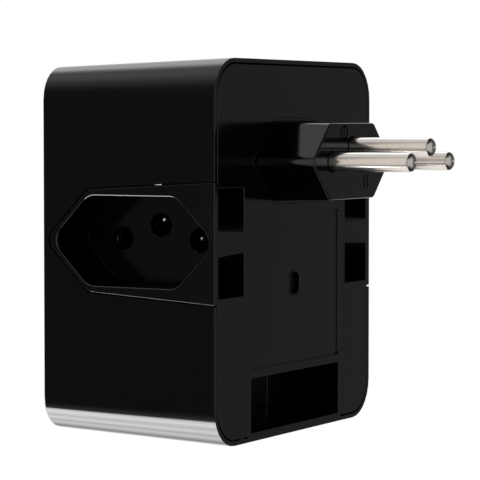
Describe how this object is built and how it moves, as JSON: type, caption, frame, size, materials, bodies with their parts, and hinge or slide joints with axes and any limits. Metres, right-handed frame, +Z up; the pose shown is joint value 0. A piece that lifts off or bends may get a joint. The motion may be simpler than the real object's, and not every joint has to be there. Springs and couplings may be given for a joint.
{
  "type": "smart plug",
  "caption": "Wall-plug adapter: a hexagonal nose with round pins behind a rounded box that has a recessed outlet on each side and a push button on the front.",
  "frame": {"origin": "centre of the plug nose's flat end face, on the line between its two power pins", "axes": "+Y along the pins and out of the plug, towards the wall socket; +Z up, along the case's longest side; the button's face looks along -Y"},
  "size_m": [0.0712, 0.0751, 0.0797],
  "materials": {
    "gloss_black": "polished",
    "matte_black": "fine satin texture",
    "nickel": "plated, lightly brushed",
    "brass": "satin",
    "steel": "zinc plated",
    "insulator": "satin",
    "light_guide": "frosted",
    "circuit_board": "lacquered",
    "relay_case": "satin",
    "epoxy": "glossy",
    "capacitor_can": "sleeved can",
    "winding": "lacquered copper wire",
    "tinned_cover": "tinned"
  },
  "bodies": {
    "plug_body": {"outer_sleeve": "gloss_black", "front_cover": "gloss_black", "rear_chassis": "matte_black", "plug_nose": "matte_black", "pin_retainer": "insulator", "line_pin": "nickel", "earth_pin": "nickel", "neutral_pin": "nickel", "left_line_contact": "brass", "left_earth_contact": "brass", "left_neutral_contact": "brass", "right_line_contact": "brass", "right_earth_contact": "brass", "right_neutral_contact": "brass", "left_contact_holder": "insulator", "right_contact_holder": "insulator", "line_lead": "brass", "line_busbar": "brass", "neutral_busbar": "brass", "earth_busbar": "brass", "tact_switch": "capacitor_can", "light_pipe": "light_guide", "status_led": "light_guide", "main_circuit_board": "circuit_board", "relay": "relay_case", "film_capacitor": "epoxy", "transformer": "winding", "bulk_capacitor": "capacitor_can", "output_capacitor": "capacitor_can", "bridge_rectifier": "relay_case", "filter_choke": "winding", "fuse": "tinned_cover", "varistor": "epoxy", "wifi_board": "circuit_board", "wifi_shield": "tinned_cover", "chassis_screw": "steel", "board_screw_left": "steel", "board_screw_right": "steel"},
    "button": {"power_button": "gloss_black", "tact_plunger": "insulator"}
  },
  "joints": [
    {"name": "button_press", "type": "slide", "parent": "plug_body", "child": "button", "axis": [0, 1, 0], "range_m": [0, 0.0005], "stiffness_N_per_m": 2000, "springref_m": -0.0005}
  ]
}
